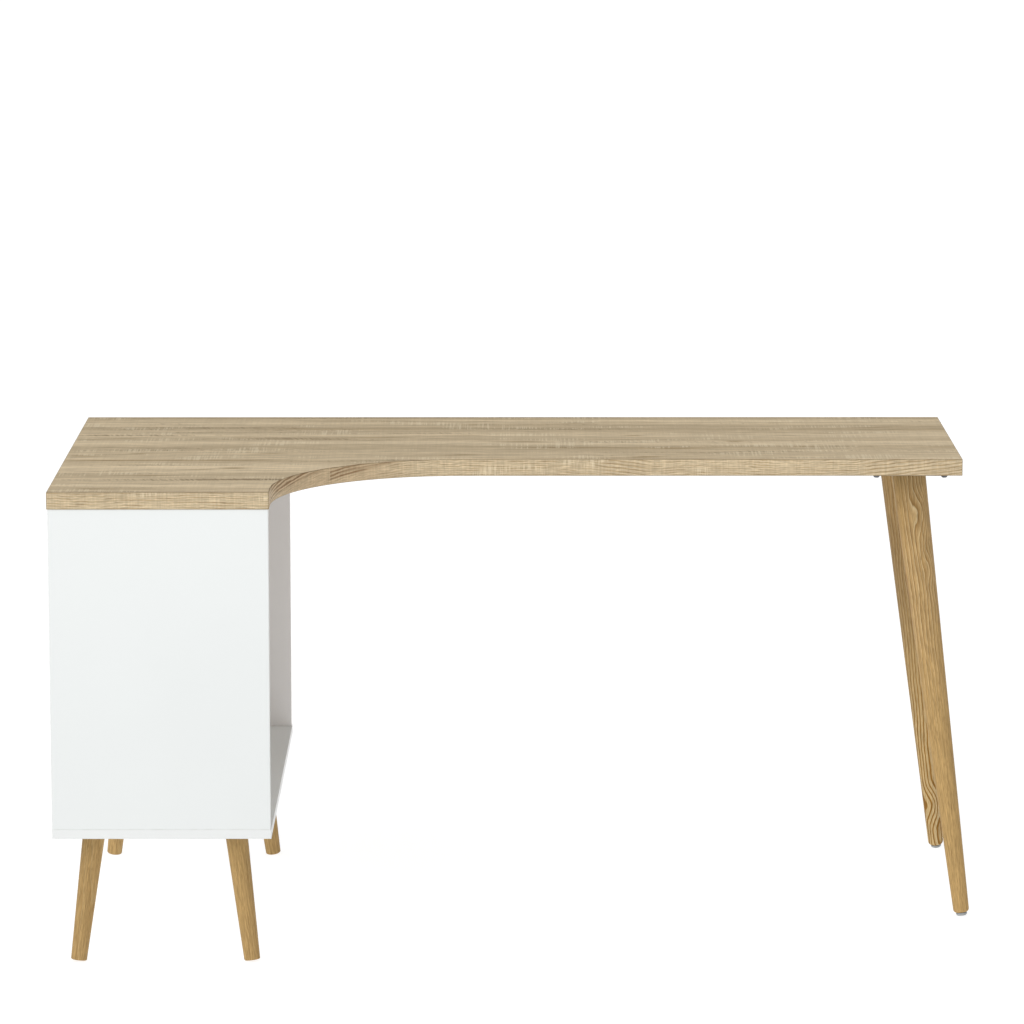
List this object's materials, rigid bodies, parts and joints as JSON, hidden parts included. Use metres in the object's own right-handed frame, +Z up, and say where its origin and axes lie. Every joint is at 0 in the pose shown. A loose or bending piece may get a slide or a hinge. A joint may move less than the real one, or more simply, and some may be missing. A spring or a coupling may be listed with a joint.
{
  "type": "corner desk",
  "caption": "L-shaped desk: wood-grain worktop with a concave inner corner, open-sided white pedestal on short splayed legs, tall splayed legs with levelling glides.",
  "frame": {"origin": "at floor level, midway between the desk's furthest left and right and between its furthest front and rear", "axes": "+Z up, +X from the pedestal towards the tall legs, -Y towards the person who sits at the desk"},
  "size_m": [1.4701, 0.8301, 0.755],
  "materials": {
    "worktop_laminate": "matt sawn-oak laminate, grey-beige, grain along X",
    "worktop_edge": "matt sawn-oak edge band, a little warmer than the top",
    "white_board": "white melamine-faced particle board, satin",
    "white_hardboard": "white-faced thin hardboard, satin",
    "leg_wood": "clear-lacquered ash or oak, satin",
    "dowel_wood": "fluted beech, raw",
    "plate_steel": "black powder coat",
    "fastener_steel": "zinc plated",
    "cam_zinc": "die-cast zinc",
    "cap_plastic": "matt",
    "glide_plastic": "matt grey"
  },
  "bodies": {
    "desk": {"desktop_board": "worktop_laminate", "desktop_edge_band": "worktop_edge", "front_end_panel": "white_board", "rear_end_panel": "white_board", "bottom_board": "white_board", "pedestal_back_panel": "white_hardboard", "pedestal_leg_front_left": "leg_wood", "pedestal_leg_front_right": "leg_wood", "pedestal_leg_rear_left": "leg_wood", "pedestal_leg_rear_right": "leg_wood", "tall_leg_front": "leg_wood", "tall_leg_rear": "leg_wood", "top_dowels": "dowel_wood", "bottom_dowels": "dowel_wood", "pedestal_leg_plate_front_left": "plate_steel", "pedestal_leg_plate_front_right": "plate_steel", "pedestal_leg_plate_rear_left": "plate_steel", "pedestal_leg_plate_rear_right": "plate_steel", "tall_leg_plate_front": "plate_steel", "tall_leg_plate_rear": "plate_steel", "pedestal_hanger_bolts": "fastener_steel", "tall_hanger_bolts": "fastener_steel", "pedestal_plate_screws": "fastener_steel", "tall_leg_plate_bolts": "fastener_steel", "worktop_inserts": "fastener_steel", "glide_inserts": "fastener_steel", "top_cam_bolts": "fastener_steel", "bottom_cam_bolts": "fastener_steel", "top_cam_locks": "cam_zinc", "bottom_cam_locks": "cam_zinc", "top_cam_caps": "cap_plastic", "bottom_cam_caps": "cap_plastic"},
    "front_glide": {"glide_front": "glide_plastic"},
    "rear_glide": {"glide_rear": "glide_plastic"}
  },
  "joints": [
    {"name": "front_glide_thread", "type": "slide", "parent": "desk", "child": "front_glide", "axis": [0.1228, -0.1228, -0.9848], "range_m": [0, 0.012]},
    {"name": "rear_glide_thread", "type": "slide", "parent": "desk", "child": "rear_glide", "axis": [0.1228, 0.1228, -0.9848], "range_m": [0, 0.012]}
  ]
}
